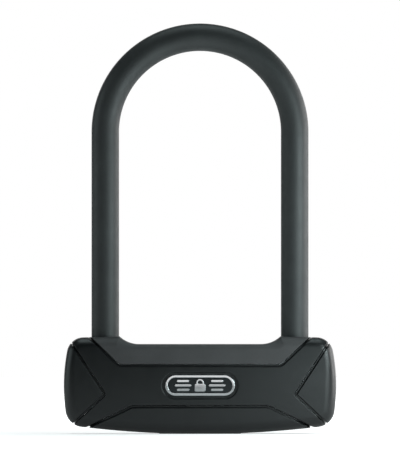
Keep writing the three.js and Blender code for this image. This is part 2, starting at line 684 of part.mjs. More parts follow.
function keyholeShutter() {
  const { x, y, z0, z1 } = SHUTTER;
  const plate = block(-x, x, -y, y, z0, z1);
  const springNotch = block(SPRING.x0 - 0.2, FAR, SPRING.y - 1.15, FAR, 0, 10);
  const ribs = [1.6, 3.0, 4.4].map((at) => block(at - 0.35, at + 0.35, -2.6, 2.6, 0.55, z0 + 0.1));
  return joined(cut(plate, springNotch), ...ribs);
}

class Helix extends THREE.Curve {
  getPoint(t, target = new THREE.Vector3()) {
    const a = 2 * Math.PI * SPRING.turns * t;
    const x = SPRING.x0 + SPRING.wire + (SPRING.x1 - SPRING.x0 - 2 * SPRING.wire) * t;
    return target.set(x, SPRING.y + SPRING.r * Math.cos(a), SPRING.z + SPRING.r * Math.sin(a));
  }
}

function shutterSpring() {
  const wire = disc(SPRING.wire, SPRING.sides);
  const steps = SPRING.turns * 7;
  return solid(new THREE.ExtrudeGeometry(wire, { steps, extrudePath: new Helix() }));
}

// --- scene -------------------------------------------------------------------------------------

function part(name, body, look) {
  const mesh = new THREE.Mesh(geometryOf(body), new THREE.MeshStandardMaterial(MATERIALS[look]));
  mesh.name = name;
  return mesh;
}

function turnedHalf(mesh) {
  mesh.rotation.z = Math.PI;
  return mesh;
}

const shackle = new THREE.Group();
shackle.add(part('shackle_bar', shackleBar(), 'steel'));
shackle.add(part('shackle_sleeve', shackleSleeve(), 'sleeve'));

const covers = new THREE.Group();
covers.add(part('front_cover', faceCover(true), 'cover'));
covers.add(part('rear_cover', faceCover(false), 'cover'));
covers.add(part('saddle_cover', saddleCover(), 'saddle'));
covers.add(part('base_cover', baseCover(), 'cover'));
covers.add(part('end_cap_right', endCap(), 'cover'));
covers.add(turnedHalf(part('end_cap_left', endCap(), 'cover')));
covers.add(part('badge_ring', badgeRing(), 'chrome'));
covers.add(part('badge_plate', badgePlate(), 'badge'));
for (const [name, x] of [['leg_seal_left', -LEG_X], ['leg_seal_right', LEG_X]]) {
  const seal = part(name, ring(SEAL.rIn, SEAL.rOut, SEAL.z0, SEAL.z1), 'rubber');
  seal.position.x = x;
  covers.add(seal);
}

const box = new THREE.Group();
box.add(part('lock_case', lockCase(), 'steel'));
box.add(part('case_lid', caseLid(), 'hardened'));
box.add(part('foot_block_right', footBlock(), 'cast'));
box.add(turnedHalf(part('foot_block_left', footBlock(), 'cast')));
box.add(part('cylinder_block', cylinderBlock(), 'cast'));
let screwCount = 0;
for (const x of [-SCREW.x, SCREW.x]) {
  for (const y of [-SCREW.y, SCREW.y]) {
    screwCount += 1;
    const screw = part(`lid_screw_${screwCount}`, lidScrew(), 'hardened');
    screw.position.set(x, y, 0);
    box.add(screw);
  }
}
box.add(part('cylinder_housing', cylinderHousing(), 'brass'));
box.add(part('housing_pin', housingPinAxis(1.5, 11.0), 'hardened'));

const plug = new THREE.Group();
plug.add(part('plug_sleeve', plugSleeve(), 'brass'));
plug.add(part('keyhole_plate', keyholePlate(), 'hardened'));
for (let i = 0; i < DISC.count; i += 1) {
  plug.add(part(`detainer_disc_${i + 1}`, detainerDisc(i), 'brass'));
}
for (let i = 0; i < DISC.count - 1; i += 1) {
  plug.add(part(`disc_spacer_${i + 1}`, discSpacer(i), 'steel'));
}
plug.add(part('sidebar', sidebar(), 'steel'));
plug.add(part('plug_circlip', circlip(), 'steel'));
plug.add(part('bolt_cam', boltCam(), 'hardened'));
plug.add(part('cam_screw', camScrew(), 'steel'));

const bolts = new THREE.Group();
bolts.add(part('bolt_right', bolt(), 'hardened'));
bolts.add(turnedHalf(part('bolt_left', bolt(), 'hardened')));

const keyhole = new THREE.Group();
keyhole.add(part('keyhole_frame', keyholeFrame(), 'cover'));
keyhole.add(part('keyhole_shutter', keyholeShutter(), 'cover'));
keyhole.add(part('shutter_spring', shutterSpring(), 'steel'));

const lock = new THREE.Group();
lock.add(shackle, covers, box, plug, bolts, keyhole);

export default lock;
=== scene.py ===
"""Compact bicycle U lock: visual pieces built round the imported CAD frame."""
import bpy
import json
import math
import numpy as np
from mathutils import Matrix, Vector


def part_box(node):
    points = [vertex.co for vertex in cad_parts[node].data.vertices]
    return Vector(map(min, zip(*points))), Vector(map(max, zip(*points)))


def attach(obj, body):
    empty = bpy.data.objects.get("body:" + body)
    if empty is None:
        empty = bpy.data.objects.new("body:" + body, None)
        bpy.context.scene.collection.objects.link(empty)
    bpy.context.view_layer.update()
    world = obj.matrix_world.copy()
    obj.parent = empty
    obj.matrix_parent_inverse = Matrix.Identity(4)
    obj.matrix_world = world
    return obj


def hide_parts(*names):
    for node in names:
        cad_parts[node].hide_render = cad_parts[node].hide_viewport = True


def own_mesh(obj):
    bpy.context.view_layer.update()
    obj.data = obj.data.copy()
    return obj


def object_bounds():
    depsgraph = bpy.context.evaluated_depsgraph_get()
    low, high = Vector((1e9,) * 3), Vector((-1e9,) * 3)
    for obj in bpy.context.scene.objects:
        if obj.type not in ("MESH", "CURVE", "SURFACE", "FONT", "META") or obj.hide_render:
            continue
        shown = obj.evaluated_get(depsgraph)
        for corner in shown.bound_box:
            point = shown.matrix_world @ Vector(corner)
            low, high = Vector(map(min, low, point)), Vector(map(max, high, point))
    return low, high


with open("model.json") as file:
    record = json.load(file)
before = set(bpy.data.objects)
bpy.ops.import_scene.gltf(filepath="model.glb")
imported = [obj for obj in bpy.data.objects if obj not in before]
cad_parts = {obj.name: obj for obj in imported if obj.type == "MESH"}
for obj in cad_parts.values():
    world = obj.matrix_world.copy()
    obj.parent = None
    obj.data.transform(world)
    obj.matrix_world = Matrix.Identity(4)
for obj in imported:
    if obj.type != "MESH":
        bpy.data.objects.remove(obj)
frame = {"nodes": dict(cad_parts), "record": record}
cad_low, cad_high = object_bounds()

MM = 0.001


def size_mm(node):
    """Lowest and highest corner of a CAD node, in millimetres."""
    low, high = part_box(node)
    return np.array(low) / MM, np.array(high) / MM


# --- sizes in millimetres, from the frame where it has them ---------------------------------------------
sleeve_low, sleeve_high = size_mm("shackle_sleeve")
bar_low, bar_high = size_mm("shackle_bar")
cap_high = size_mm("end_cap_right")[1]
case_low, case_high = size_mm("lock_case")
lid_high = size_mm("case_lid")[1]
ring_low, ring_high = size_mm("badge_ring")
frame_high = size_mm("keyhole_frame")[1]
shutter_low, shutter_high = size_mm("keyhole_shutter")
spring_low, spring_high = size_mm("shutter_spring")
seal_low, seal_high = size_mm("leg_seal_right")
rear_high = size_mm("rear_cover")[1]

SLEEVE_R = sleeve_high[1]
BAR_R = bar_high[1]
LEG_X = sleeve_high[0] - SLEEVE_R
BEND_Z = sleeve_high[2] - LEG_X - SLEEVE_R
FOOT_CHAMFER = 1.4
NOTCH_X, NOTCH_LOW, NOTCH_HIGH, NOTCH_BEVEL = 47.6, 28.6, 37.2, 0.3
COAT_GAP, COAT_LIP = 0.05, 0.5
COAT_SIDES, STEEL_SIDES = 56, 48

# Outline of the crossbar in XZ: very flat base arc, round low corners, bulging ends,
# sloping shoulders and a concave sweep down to the saddle.
FOOT_HALF = 11.0
BASE_R = 506.0
SIDE_R = 97.0
SIDE_X, SIDE_Z = cap_high[0] - SIDE_R, 24.4
LOW_CORNER_R = 9.4
TOP_CORNER_R = 8.5
SHOULDER_X, SHOULDER_Z, SHOULDER_SLOPE = 41.2, 49.7, -0.0266
SWEEP_X, SWEEP_Z, SWEEP_R = 31.2, 60.2, 14.5

# The front and back are crowned: part of an ellipsoid with these semi-axes.
CROWN_X, CROWN_Y, CROWN_Z = 154.0, rear_high[1], 67.5
CROWN_MID = 24.0

# Rounding between faces and outline, measured inwards from the outline and in depth. It is wide at the
# base and the ends, less wide at the shoulders and tight along the saddle.
BASE_EDGE, SHOULDER_EDGE, SADDLE_EDGE = (6.0, 6.0), (5.2, 5.6), (2.8, 2.8)
SHOULDER_FROM, SADDLE_TO = (22.0, 36.0), (32.0, 42.0)

# Six covers meet at these lines, which are mirrored in x. FAR is past everything on the crossbar.
TOP_GROOVE = [(41.5, 35.0), (60.0, 52.6)]
LOW_GROOVE = [(34.7, 14.0), (66.0, -0.87)]
CAP_GROOVE = [(70.0, 52.8), (48.7, 20.2), (70.0, 0.21)]
GROOVE_BEND, CAP_GROOVE_BEND = 4.0, 1.2
FAR = 90.0
PARTING = 0.2    # gap between two covers that meet

# Width and depth of the grooves and the radius of their lips, which are slighter where the grooves run
# over the rim than on the two faces. One cover has the groove's floor, and its tongue behind the other
# cover's lip closes the joint.
GROOVE_RIM, GROOVE_FACE = (0.7, 0.6, 0.25), (1.3, 1.6, 0.3)
RIM_HALF, FACE_HALF = 4.0, 12.0
TONGUE, TONGUE_IN = 1.5, 1.1

# Collar round each leg, which steps in at COLLAR_STEP, the bore in it, and the lips of the leg seal
COLLAR_WIDE, COLLAR_NARROW, COLLAR_STEP = 9.2, 8.2, 47.6
COLLAR_GAP = 0.25
BORE_R, BORE_LIP = SLEEVE_R + 0.3, 0.4
SEAL_GAP, LIP_DEEP, LIP_FROM, SEAL_SIDES = 0.12, 0.45, 0.15, 64

REST_GAP, FIT_GAP = 0.2, 0.1
CAP_HOLLOW_X, CAP_HOLLOW_Y, CAP_HOLLOW_LOW, CAP_HOLLOW_HIGH = 66.0, 11.0, 13.0, 39.0

# The badge: a rim, a plate and a raised sign, which share a face of radius BADGE_CURVE
BADGE_Z = 0.5 * (ring_low[2] + ring_high[2])
BADGE_W, BADGE_H = ring_high[0] - ring_low[0], ring_high[2] - ring_low[2]
BADGE_RIM, RIM_OUTER_LIP, RIM_INNER_LIP = 1.5, 0.4, 0.3
BADGE_CURVE = 90.0
BADGE_BACK = 0.05
BADGE_TOP, BADGE_FLOOR = ring_low[1], ring_high[1] - BADGE_BACK
PLATE_DROP, SIGN_DROP, SIGN_THICK, SIGN_LIP = 0.75, 0.3, 0.9, 0.16
POCKET_W, POCKET_H, POCKET_LIP = BADGE_W + 2.95, BADGE_H + 2.8, 0.45

# The padlock sign: width, height, drop below the badge's middle and corner of its body, then the middle
# radius, half thickness, rise and lower end of its shackle. The bars beside it.
SIGN_W, SIGN_H, SIGN_BELOW, SIGN_CORNER = 5.6, 4.0, 1.15, 0.7
ARCH_R, ARCH_HALF, ARCH_UP, ARCH_END = 1.55, 0.45, 1.35, 0.2
BARS_AT, BAR_LENGTH, BAR_THICK, BAR_LEVELS = 8.7, 8.6, 1.25, (2.25, 0, -2.25)

# Keyhole frame, its window, and the shutter with its track and grip ridges
FRAME_CORNER, FRAME_LIP = 3.0, 0.35
WINDOW_X0, WINDOW_X1, WINDOW_HALF, WINDOW_BEVEL = -6.6, 17.4, 4.6, 0.45
SHUTTER_PLATE_Z, SHUTTER_CORNER, SHUTTER_LIP = 1.65, 0.5, 0.2
SPRING_NOTCH = 0.5
GRIP_AT, GRIP_W, GRIP_LENGTH, GRIP_CORNER, GRIP_LIP = (1.6, 3.0, 4.4), 0.75, 5.2, 0.3, 0.25
TRACK_PLAY, TRACK_LOW, TRACK_HIGH = 0.25, 1.0, 3.05
NOSE_ROOM_R, NOSE_ROOM_LOW = 9.5, 1.0
BASE_LIP = 0.3
WIRE_R, COIL_R, COIL_TURNS = 0.14, 0.55, 13


# --- outlines in XZ -------------------------------------------------------------------------------------
def arc(cx, cz, r, a0, a1, count):
    a = np.linspace(a0, a1, count + 1)
    return np.stack([cx + r * np.cos(a), cz + r * np.sin(a)], axis=1)


def angle_from(a, b):
    return math.atan2(b[1] - a[1], b[0] - a[0])


def centre_between(c1, d1, c2, d2):
    """The point at distance d1 from c1 and d2 from c2, on the side of larger x."""
    gap = math.dist(c1, c2)
    along = (d1 * d1 - d2 * d2 + gap * gap) / (2 * gap)
    off = math.sqrt(d1 * d1 - along * along)
    ux, uz = (c2[0] - c1[0]) / gap, (c2[1] - c1[1]) / gap
    return max((c1[0] + along * ux - s * off * uz, c1[1] + along * uz + s * off * ux) for s in (1, -1))


def half_outline():
    """The right half, from the middle of the base round to the middle of the saddle."""
    base = (0.0, math.sqrt(BASE_R ** 2 - FOOT_HALF ** 2))
    side = (SIDE_X, SIDE_Z)
    low = centre_between(base, BASE_R - LOW_CORNER_R, side, SIDE_R - LOW_CORNER_R)
    x, z = cap_high[0], 0.0
    for _ in range(20):    # the centre of the top corner, which settles in a few rounds
        z = SHOULDER_Z + SHOULDER_SLOPE * (x - SHOULDER_X) - TOP_CORNER_R * math.hypot(1, SHOULDER_SLOPE)
        x = SIDE_X + math.sqrt((SIDE_R - TOP_CORNER_R) ** 2 - (z - SIDE_Z) ** 2)
    top = (x, z)
    foot = math.atan2(-base[1], FOOT_HALF)
    sweep = math.atan2(SHOULDER_Z - SWEEP_Z, SHOULDER_X - SWEEP_X)
    over = math.pi / 2 + math.atan(SHOULDER_SLOPE)
    return np.concatenate([
        arc(*base, BASE_R, foot, angle_from(base, low), 8),
        arc(*low, LOW_CORNER_R, angle_from(base, low), angle_from(side, low), 14)[1:],
        arc(*side, SIDE_R, angle_from(side, low), angle_from(side, top), 10)[1:],
        arc(*top, TOP_CORNER_R, angle_from(side, top), over, 14)[1:],
        arc(SWEEP_X, SWEEP_Z, SWEEP_R, sweep, -math.pi / 2, 12),
    ])


def mirrored(line):
    return np.asarray(line)[::-1] * np.array([-1.0, 1.0])


def softened(line, r, count=6):
    """Rounds the inner corners of an open line."""
    line = [np.array(p, float) for p in line]
    points = [line[0]]
    for before, here, after in zip(line, line[1:], line[2:]):
        back = (before - here) / np.linalg.norm(before - here)
        on = (after - here) / np.linalg.norm(after - here)
        reach = r / math.tan(math.acos(np.dot(back, on)) / 2)
        for t in np.linspace(0, 1, count + 1):
            bend = (1 - t) ** 2 * back + t * t * on
            points.append(here + reach * bend)
    points.append(line[-1])
    return np.array(points)


def polygon_distance(x, z, polygon):
    """Signed distance to a closed polygon, negative inside."""
    x, z = np.broadcast_arrays(x, z)
    nearest = np.full(x.shape, 1e9)
    inside = np.zeros(x.shape, bool)
    for (ax, az), (bx, bz) in zip(polygon, np.roll(polygon, -1, axis=0)):
        ex, ez = bx - ax, bz - az
        px, pz = x - ax, z - az
        t = np.clip((px * ex + pz * ez) / (ex * ex + ez * ez + 1e-12), 0, 1)
        nearest = np.minimum(nearest, (px - t * ex) ** 2 + (pz - t * ez) ** 2)
        if ez:
            inside ^= ((az > z) != (bz > z)) & (px < ex * pz / ez)
    return np.where(inside, -1, 1) * np.sqrt(nearest)


def distance_table(polygon, step=0.15, x_far=72.0, z_low=-4.0, z_high=56.0):
    """The same distance read from a fine grid round the crossbar: much faster for many points."""
    xs, zs = np.arange(-x_far, x_far + step, step), np.arange(z_low, z_high + step, step)
    table = polygon_distance(xs[:, None], zs[None, :], polygon)

    def read(x, z):
        u, v = (x + x_far) / step, (z - z_low) / step
        i = np.clip(np.floor(u).astype(int), 0, len(xs) - 2)
        j = np.clip(np.floor(v).astype(int), 0, len(zs) - 2)
        u, v = u - i, v - j
        near = table[i, j] * (1 - u) + table[i + 1, j] * u
        far = table[i, j + 1] * (1 - u) + table[i + 1, j + 1] * u
        return near * (1 - v) + far * v

    return read


half = half_outline()
top_line = softened(np.concatenate([mirrored(TOP_GROOVE), TOP_GROOVE]), GROOVE_BEND)
low_line = softened(np.concatenate([mirrored(LOW_GROOVE), LOW_GROOVE]), GROOVE_BEND)
cap_line = softened(CAP_GROOVE, CAP_GROOVE_BEND)
outline_at = distance_table(np.concatenate([half, mirrored(half)]))
saddle_at = distance_table(np.concatenate([top_line, [[FAR, FAR], [-FAR, FAR]]]))
base_at = distance_table(np.concatenate([low_line, [[FAR, -FAR], [-FAR, -FAR]]]))
cap_at = distance_table(np.concatenate([cap_line, [[FAR, -FAR], [FAR, FAR]]]))


# --- solids as signed fields, in millimetres, negative inside -------------------------------------------
def blend_step(low, high, value):
    t = np.clip((value - low) / (high - low), 0, 1)
    return t * t * (3 - 2 * t)


def most(*fields):
    out = fields[0]
    for field in fields[1:]:
        out = np.maximum(out, field)
    return out


def rounded(a, b, r):
    """Intersection of two fields, with a round edge of radius r where they meet."""
    return np.minimum(np.maximum(a, b), -r) + np.hypot(np.maximum(a + r, 0), np.maximum(b + r, 0))


def joined(a, b, r):
    """Union of two fields, with a fillet of radius r where they meet."""
    return -rounded(-a, -b, r)


def box_field(x, y, z, low, high):
    return most(low[0] - x, x - high[0], low[1] - y, y - high[1], low[2] - z, z - high[2])


def pill_field(u, v, w, h):
    reach = (w - h) / 2
    return np.hypot(u - np.clip(u, -reach, reach), v) - h / 2


def rect_field(u, v, w, h, r):
    u, v = np.abs(u) - w / 2 + r, np.abs(v) - h / 2 + r
    return np.hypot(np.maximum(u, 0), np.maximum(v, 0)) + np.minimum(np.maximum(u, v), 0) - r


def leg_field(x, y, r):
    return np.hypot(np.abs(x) - LEG_X, y) - r


def body_field(x, y, z):
    """The crossbar's outside: crowned faces that roll over into the outline, tighter at the saddle."""
    depth = -outline_at(x, z)
    high = blend_step(*SHOULDER_FROM, z)
    between = 1 - blend_step(*SADDLE_TO, np.abs(x))
    inward, deep = (base - high * (base - shoulder + between * (shoulder - saddle))
                    for base, shoulder, saddle in zip(BASE_EDGE, SHOULDER_EDGE, SADDLE_EDGE))
    face = CROWN_Y * np.sqrt(1 - (x / CROWN_X) ** 2 - ((z - CROWN_MID) / CROWN_Z) ** 2)
    u = (inward - depth) / inward
    v = (np.abs(y) - (face - deep)) / deep
    corner = np.hypot(np.maximum(u, 0), np.maximum(v, 0)) - 1
    return 0.5 * (inward + deep) * (corner + np.minimum(np.maximum(u, v), 0))


def cover_field(past, x, y, z, floors=(), floored_by=()):
    """One cover up to its grooves. past is the distance past the middle line of its nearest groove.

    floors are the distances past the lines where it has the groove's floor and a tongue, floored_by those
    past the lines where the neighbour has them.
    """
    body = body_field(x, y, z)
    on_face = blend_step(RIM_HALF, FACE_HALF, np.abs(y))
    width, deep, lip = (rim + on_face * (face - rim) for rim, face in zip(GROOVE_RIM, GROOVE_FACE))
    cover = rounded(body, past + width / 2, lip)
    inner = body + deep + TONGUE_IN
    within = most(-FAR, *(line + width / 2 for line in floored_by))
    case_room = box_field(x, y, z, case_low - REST_GAP, np.append(case_high[:2], lid_high[2]) + REST_GAP)
    for line in floors:
        ledge = most(line - width / 2 + PARTING, within, body + deep)
        cover = joined(cover, ledge, lip)
    for line in floored_by:
        tongue_room = np.minimum(line + TONGUE + PARTING, PARTING - inner)
        cover = np.maximum(cover, tongue_room)
    for line in floors:    # the tongue, wherever there is space for it outside the case
        tongue = most(line - TONGUE, within + TONGUE, inner, TONGUE - case_room)
        cover = np.minimum(cover, tongue)
    return most(cover, -case_room)


def collar_field(x, y, z, grow):
    wide = most(leg_field(x, y, COLLAR_WIDE + grow), z - COLLAR_STEP - grow)
    return np.minimum(wide, leg_field(x, y, COLLAR_NARROW + grow))


def face_field(x, y, z):
    """Either X-shaped cover, for y < 0."""
    top, low, cap = -saddle_at(x, z), -base_at(x, z), -cap_at(np.abs(x), z)
    cover = cover_field(most(top, low, cap), x, y, z, floors=[top], floored_by=[low, cap])
    return most(cover, y + PARTING / 2, -collar_field(x, y, z, COLLAR_GAP))


def front_field(x, y, z):
    pocket = most(pill_field(x, z - BADGE_Z, POCKET_W, POCKET_H), y - BADGE_FLOOR)
    return rounded(face_field(x, y, z), -pocket, POCKET_LIP)


def saddle_field(x, y, z):
    collar = most(collar_field(x, y, z, 0), body_field(x, y, z), lid_high[2] + REST_GAP - z)
    top = saddle_at(x, z)
    solid = np.minimum(cover_field(top, x, y, z, floored_by=[top]), collar)
    seal_room = most(leg_field(x, y, seal_high[1] + FIT_GAP),
                     seal_low[2] - FIT_GAP - z, z - seal_high[2] - FIT_GAP)
    return most(rounded(solid, -leg_field(x, y, BORE_R), BORE_LIP), -seal_room)


def base_field(x, y, z):
    wide, deep = 2 * (frame_high[:2] + REST_GAP)
    plate_room = most(rect_field(x, y, wide, deep, FRAME_CORNER + REST_GAP), z - frame_high[2] - FIT_GAP)
    track = box_field(x, y, z, (*(shutter_low[:2] - TRACK_PLAY), TRACK_LOW),
                      (spring_high[0] + TRACK_PLAY, shutter_high[1] + TRACK_PLAY, TRACK_HIGH))
    nose = most(np.hypot(x, y) - NOSE_ROOM_R, NOSE_ROOM_LOW - z)
    low = base_at(x, z)
    solid = rounded(cover_field(low, x, y, z, floors=[low]), -plate_room, BASE_LIP)
    return most(solid, -track, -nose)


def cap_field(x, y, z):
    hollow = box_field(x, y, z, (case_high[0], -CAP_HOLLOW_Y, CAP_HOLLOW_LOW),
                       (CAP_HOLLOW_X, CAP_HOLLOW_Y, CAP_HOLLOW_HIGH))
    cap = cap_at(x, z)
    return most(cover_field(cap, x, y, z, floors=[cap]), -hollow)


def badge_dome(z):
    """The badge's face falls away a little above and below its middle."""
    return BADGE_TOP + (z - BADGE_Z) ** 2 / (2 * BADGE_CURVE)


def ring_field(x, y, z):
    outer = rounded(pill_field(x, z - BADGE_Z, BADGE_W, BADGE_H), badge_dome(z) - y, RIM_OUTER_LIP)
    inner = pill_field(x, z - BADGE_Z, BADGE_W - 2 * BADGE_RIM, BADGE_H - 2 * BADGE_RIM)
    return most(rounded(outer, -inner, RIM_INNER_LIP), y - BADGE_FLOOR - BADGE_BACK)


def face_plate_field(x, y, z):
    smaller = 2 * BADGE_RIM + FIT_GAP
    pill = pill_field(x, z - BADGE_Z, BADGE_W - smaller, BADGE_H - smaller)
    return most(pill, badge_dome(z) + PLATE_DROP - y, y - BADGE_FLOOR - BADGE_BACK)


def emblem_field(x, y, z):
    """A plain padlock sign between plain bars."""
    up = z - BADGE_Z
    body = rect_field(x, up + SIGN_BELOW, SIGN_W, SIGN_H, SIGN_CORNER)
    arch = np.abs(np.hypot(x, np.maximum(up - ARCH_UP, 0)) - ARCH_R) - ARCH_HALF
    shape = np.minimum(body, most(arch, ARCH_END - up))
    for level in BAR_LEVELS:
        bar = pill_field(np.abs(x) - BARS_AT, up - level, BAR_LENGTH - abs(level), BAR_THICK)
        shape = np.minimum(shape, bar)
    top = badge_dome(z)
    return most(rounded(shape, top + SIGN_DROP - y, SIGN_LIP), y - top - SIGN_THICK)


def keyhole_frame_field(x, y, z):
    w, h = 2 * frame_high[0], 2 * frame_high[1]
    plate = rounded(rect_field(x, y, w, h, FRAME_CORNER), -z, FRAME_LIP)
    middle, length = (WINDOW_X0 + WINDOW_X1) / 2, WINDOW_X1 - WINDOW_X0
    window = pill_field(x - middle, y, length, 2 * WINDOW_HALF) - np.maximum(WINDOW_BEVEL - z, 0)
    return most(plate, -window, z - frame_high[2])


def shutter_field(x, y, z):
    wide, deep = 2 * shutter_high[:2]
    plate = rounded(rect_field(x, y, wide, deep, SHUTTER_CORNER),
                    most(SHUTTER_PLATE_Z - z, z - shutter_high[2]), SHUTTER_LIP)
    notch = most(spring_low[0] - REST_GAP - x, spring_low[1] - SPRING_NOTCH - y)
    shape = most(plate, -notch)
    for at in GRIP_AT:
        ridge = rect_field(x - at, y, GRIP_W, GRIP_LENGTH, GRIP_CORNER)
        ridge = rounded(ridge, most(shutter_low[2] - z, z - SHUTTER_PLATE_Z - FIT_GAP), GRIP_LIP)
        shape = np.minimum(shape, ridge)
    return shape


# --- mesh from a field ----------------------------------------------------------------------------------
# Steps in millimetres over which a field's slope is taken, for the shape and for the shading
FINE_STEP, SHADE_STEP = 0.02, 0.12
MOST_MOVE, LEAST_STEEPNESS = 0.6, 0.25
TRUE_EDGE_COS = 0.8


def field_slope(field, p, e):
    x, y, z = p.T
    return np.stack([
        field(x + e, y, z) - field(x - e, y, z),
        field(x, y + e, z) - field(x, y - e, z),
        field(x, y, z + e) - field(x, y, z - e),
    ], axis=1) / (2 * e)


def net_of_field(field, low, high, pitch):
    """One vertex in every grid cell that the surface passes, one quad on every grid edge that it cuts."""
    axes = [np.arange(a, b + pitch, pitch) for a, b in zip(low, high)]
    count = [len(a) for a in axes]
    value = field(axes[0][:, None, None], axes[1][None, :, None], axes[2][None, None, :])
    value = np.broadcast_to(value, count)
    inside = value < 0
    stride = np.array([count[1] * count[2], count[2], 1])
    cells, crossings, flips = [], [], []
    for axis in range(3):    # the grid edges along this axis that the surface cuts
        near, far = [slice(None)] * 3, [slice(None)] * 3
        near[axis], far[axis] = slice(0, -1), slice(1, None)
        at = np.argwhere(inside[tuple(near)] != inside[tuple(far)])
        a, b = value[tuple(near)][tuple(at.T)], value[tuple(far)][tuple(at.T)]
        point = at.astype(float)
        point[:, axis] += a / (a - b)
        u, v = [stride[i] for i in range(3) if i != axis]
        corner = at @ stride
        cells.append(np.stack([corner - u - v, corner - v, corner, corner - u], axis=1))
        crossings.append(point)
        flips.append((a < 0) == (axis == 1))
    cells, crossings, flips = (np.concatenate(part) for part in (cells, crossings, flips))
    used, quads = np.unique(cells, return_inverse=True)
    quads = quads.reshape(cells.shape)
    # A vertex is the mean of the crossings on the edges of its cell.
    hits = np.bincount(quads.ravel(), minlength=len(used))
    sums = [np.bincount(quads.ravel(), np.repeat(along, 4), minlength=len(used)) for along in crossings.T]
    points = np.stack(sums, axis=1) / hits[:, None]
    quads[flips] = quads[flips][:, ::-1]
    return np.array(low) + pitch * points, quads


def settle(field, p, pitch, rounds=2):
    """Moves points onto the surface, each time by no more than MOST_MOVE cells."""
    for _ in range(rounds):
        slope = field_slope(field, p, FINE_STEP)
        steepness = np.maximum((slope ** 2).sum(1), LEAST_STEEPNESS)
        move = -field(*p.T)[:, None] * slope / steepness[:, None]
        p = p + move / np.maximum(np.linalg.norm(move, axis=1) / (MOST_MOVE * pitch), 1)[:, None]
    return p


def mesh_from(points, quads, name):
    mesh = bpy.data.meshes.new(name)
    mesh.vertices.add(len(points))
    mesh.vertices.foreach_set("co", (points * MM).astype(np.float32).ravel())
    mesh.loops.add(quads.size)
    mesh.loops.foreach_set("vertex_index", quads.astype(np.int32).ravel())
    mesh.polygons.add(len(quads))
    mesh.polygons.foreach_set("loop_start", np.arange(0, quads.size, 4, dtype=np.int32))
    mesh.update(calc_edges=True)
    return mesh


def read_array(items, name, width, kind=np.float32):
    out = np.empty(len(items) * width, kind)
    items.foreach_get(name, out)
    return out.reshape(-1, width) if width > 1 else out


def shade_from_field(mesh, field):
    """Smooth normals from the field itself, except at true edges, where the faces keep their own."""
    points = read_array(mesh.vertices, "co", 3).astype(float) / MM
    normals = field_slope(field, points, SHADE_STEP)
    normals /= np.maximum(np.linalg.norm(normals, axis=1), 1e-9)[:, None]
    faces = read_array(mesh.polygons, "normal", 3)
    face_of = np.repeat(np.arange(len(faces)), read_array(mesh.polygons, "loop_total", 1, np.int32))
    corner = normals[read_array(mesh.loops, "vertex_index", 1, np.int32)]
    own = faces[face_of]
    hard = (corner * own).sum(1) < TRUE_EDGE_COS
    corner[hard] = own[hard]
    mesh.polygons.foreach_set("use_smooth", np.ones(len(faces), bool))
    mesh.normals_split_custom_set(corner.tolist())


def field_piece(name, field, node, room, pitch, most_triangles):
    """A piece from a field, on a grid that reaches past the CAD node by room on every side."""
    low, high = size_mm(node)
    points, quads = net_of_field(field, low - room, high + room, pitch)
    mesh = mesh_from(settle(field, points, pitch), quads, name)
    piece = bpy.data.objects.new(name, mesh)
    bpy.context.scene.collection.objects.link(piece)
    if 2 * len(quads) > most_triangles:
        thin = piece.modifiers.new("thin", "DECIMATE")
        thin.ratio = most_triangles / (2 * len(quads))
        bake_modifiers(piece)
    shade_from_field(piece.data, field)
    return piece


def bake_modifiers(piece):
    graph = bpy.context.evaluated_depsgraph_get()
    made = bpy.data.meshes.new_from_object(piece.evaluated_get(graph))
    old = piece.data
    piece.modifiers.clear()
    piece.data = made
    bpy.data.meshes.remove(old)


# --- swept and turned meshes ----------------------------------------------------------------------------
def smooth_but_for_edges(mesh):
    mesh.polygons.foreach_set("use_smooth", np.ones(len(mesh.polygons), bool))
    mesh.set_sharp_from_angle(angle=math.radians(35))


def ring_piece(name, rings, loop=False):
    """Joins rings of points into a closed mesh: a tube that ends in caps, or meets its own start."""
    n = len(rings[0])
    points = np.concatenate(rings) * MM
    faces = []
    for i in range(len(rings) if loop else len(rings) - 1):
        a, b = i * n, (i + 1) % len(rings) * n
        faces += [(a + j, a + (j + 1) % n, b + (j + 1) % n, b + j) for j in range(n)]
    if not loop:
        last = len(points) - n
        faces += [tuple(range(n))[::-1], tuple(range(last, last + n))]
    mesh = bpy.data.meshes.new(name)
    mesh.from_pydata(points.tolist(), [], faces)
    smooth_but_for_edges(mesh)
    piece = bpy.data.objects.new(name, mesh)
    bpy.context.scene.collection.objects.link(piece)
    return piece


def shackle_path(low_z, leg_steps, bend_steps):
    """Places along the U from the left foot to the right one: x, z and the outward direction."""
    heights = np.linspace(low_z, BEND_Z, leg_steps + 1)[:-1]
    left = [(-LEG_X, z, -1.0, 0.0) for z in heights]
    bend = [(LEG_X * math.cos(a), BEND_Z + LEG_X * math.sin(a), math.cos(a), math.sin(a))
            for a in np.linspace(math.pi, 0, bend_steps + 1)]
    right = [(LEG_X, z, 1.0, 0.0) for z in heights[::-1]]
    return left + bend + right


def round_ring(at, r, sides, lift=0.0):
    x, z, ox, oz = at
    a = np.linspace(0, 2 * math.pi, sides, endpoint=False)
    return np.stack([x + ox * r * np.cos(a), -r * np.sin(a), z + lift + oz * r * np.cos(a)], axis=1)


def shackle_rings(path, r, sides, tip):
    """Round rings of radius r along the U. Each end has the radii and the heights of tip."""
    rings = [round_ring(path[0], tip_r, sides, lift=up) for tip_r, up in tip]
    rings += [round_ring(at, r, sides) for at in path[1:-1]]
    rings += [round_ring(path[-1], tip_r, sides, lift=up) for tip_r, up in tip[::-1]]
    return rings


